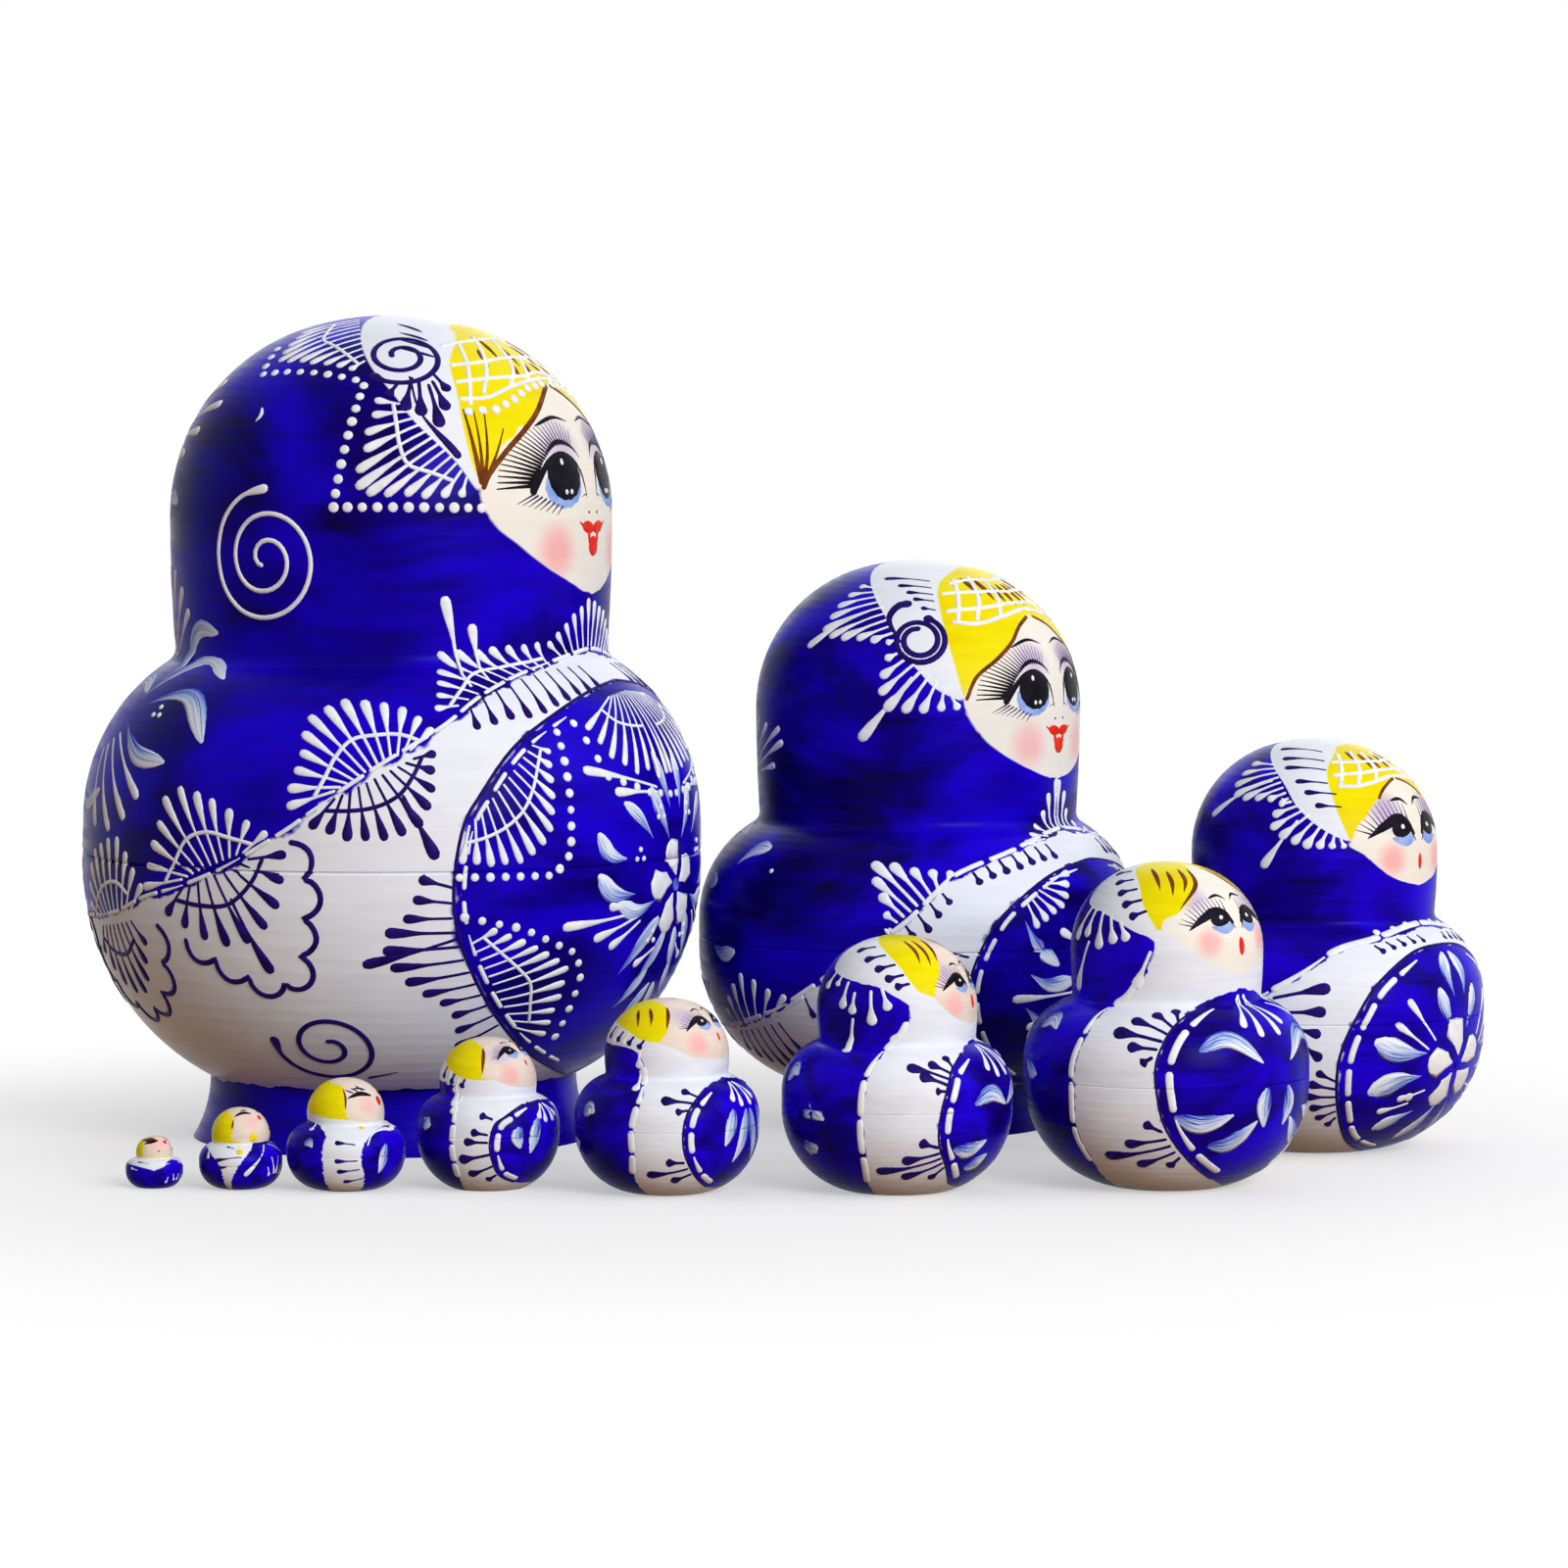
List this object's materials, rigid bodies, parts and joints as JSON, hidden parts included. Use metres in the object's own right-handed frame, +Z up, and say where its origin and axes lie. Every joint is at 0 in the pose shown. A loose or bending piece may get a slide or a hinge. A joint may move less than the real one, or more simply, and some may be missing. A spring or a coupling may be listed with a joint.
{
  "type": "nesting doll set",
  "caption": "Turned wooden nesting dolls with round bellies, painted blue and white, standing side by side; the hollow ones open at the belly so that each holds the next smaller.",
  "frame": {"origin": "middle of the largest doll's foot, on the table", "axes": "+Z up along every doll's own axis; +X along the rows, away from the largest doll; -Y towards the row of smaller dolls and the viewer"},
  "size_m": [0.2544, 0.1539, 0.15],
  "materials": {
    "painted_upper": "satin blue paint on turned lime wood",
    "painted_lower": "satin white and blue paint on turned lime wood",
    "white_relief": "thick white paint, raised",
    "indigo_relief": "thick dark blue paint, raised",
    "fine_brushwork": "thin brush paint, satin"
  },
  "bodies": {
    "doll_1_lower": {"doll_1_lower_half": "painted_lower"},
    "doll_1_upper": {"doll_1_upper_half": "painted_upper"},
    "doll_2_lower": {"doll_2_lower_half": "painted_lower"},
    "doll_2_upper": {"doll_2_upper_half": "painted_upper"},
    "doll_3_lower": {"doll_3_lower_half": "painted_lower"},
    "doll_3_upper": {"doll_3_upper_half": "painted_upper"},
    "doll_4_lower": {"doll_4_lower_half": "painted_lower"},
    "doll_4_upper": {"doll_4_upper_half": "painted_upper"},
    "doll_5_lower": {"doll_5_lower_half": "painted_lower"},
    "doll_5_upper": {"doll_5_upper_half": "painted_upper"},
    "doll_6_lower": {"doll_6_lower_half": "painted_lower"},
    "doll_6_upper": {"doll_6_upper_half": "painted_upper"},
    "doll_7_lower": {"doll_7_lower_half": "painted_lower"},
    "doll_7_upper": {"doll_7_upper_half": "painted_upper"},
    "doll_8_lower": {"doll_8_lower_half": "painted_lower"},
    "doll_8_upper": {"doll_8_upper_half": "painted_upper"},
    "doll_9_lower": {"doll_9_lower_half": "painted_lower"},
    "doll_9_upper": {"doll_9_upper_half": "painted_upper"},
    "doll_10": {"doll_10_solid": "painted_upper"}
  },
  "joints": [
    {"name": "doll_1_lift_off", "type": "slide", "parent": "doll_1_lower", "child": "doll_1_upper", "axis": [0, 0, 1], "range_m": [0, 0.0716]},
    {"name": "doll_2_lift_off", "type": "slide", "parent": "doll_2_lower", "child": "doll_2_upper", "axis": [0, 0, 1], "range_m": [0, 0.0523]},
    {"name": "doll_3_lift_off", "type": "slide", "parent": "doll_3_lower", "child": "doll_3_upper", "axis": [0, 0, 1], "range_m": [0, 0.0346]},
    {"name": "doll_4_lift_off", "type": "slide", "parent": "doll_4_lower", "child": "doll_4_upper", "axis": [0, 0, 1], "range_m": [0, 0.0273]},
    {"name": "doll_5_lift_off", "type": "slide", "parent": "doll_5_lower", "child": "doll_5_upper", "axis": [0, 0, 1], "range_m": [0, 0.0207]},
    {"name": "doll_6_lift_off", "type": "slide", "parent": "doll_6_lower", "child": "doll_6_upper", "axis": [0, 0, 1], "range_m": [0, 0.0163]},
    {"name": "doll_7_lift_off", "type": "slide", "parent": "doll_7_lower", "child": "doll_7_upper", "axis": [0, 0, 1], "range_m": [0, 0.0111]},
    {"name": "doll_8_lift_off", "type": "slide", "parent": "doll_8_lower", "child": "doll_8_upper", "axis": [0, 0, 1], "range_m": [0, 0.009]},
    {"name": "doll_9_lift_off", "type": "slide", "parent": "doll_9_lower", "child": "doll_9_upper", "axis": [0, 0, 1], "range_m": [0, 0.0056]},
    {"name": "doll_2_draw_out", "type": "slide", "parent": "doll_1_lower", "child": "doll_2_lower", "axis": [0, 0, 1], "range_m": [0, 0.0451]},
    {"name": "doll_3_draw_out", "type": "slide", "parent": "doll_1_lower", "child": "doll_3_lower", "axis": [0, 0, 1], "range_m": [0, 0.0292]},
    {"name": "doll_4_draw_out", "type": "slide", "parent": "doll_1_lower", "child": "doll_4_lower", "axis": [0, 0, 1], "range_m": [0, 0.0268]},
    {"name": "doll_5_draw_out", "type": "slide", "parent": "doll_1_lower", "child": "doll_5_lower", "axis": [0, 0, 1], "range_m": [0, 0.0207]},
    {"name": "doll_6_draw_out", "type": "slide", "parent": "doll_1_lower", "child": "doll_6_lower", "axis": [0, 0, 1], "range_m": [0, 0.0161]},
    {"name": "doll_7_draw_out", "type": "slide", "parent": "doll_1_lower", "child": "doll_7_lower", "axis": [0, 0, 1], "range_m": [0, 0.0126]},
    {"name": "doll_8_draw_out", "type": "slide", "parent": "doll_1_lower", "child": "doll_8_lower", "axis": [0, 0, 1], "range_m": [0, 0.0105]},
    {"name": "doll_9_draw_out", "type": "slide", "parent": "doll_1_lower", "child": "doll_9_lower", "axis": [0, 0, 1], "range_m": [0, 0.0067]},
    {"name": "doll_10_draw_out", "type": "slide", "parent": "doll_1_lower", "child": "doll_10", "axis": [0, 0, 1], "range_m": [0, 0.0046]}
  ]
}
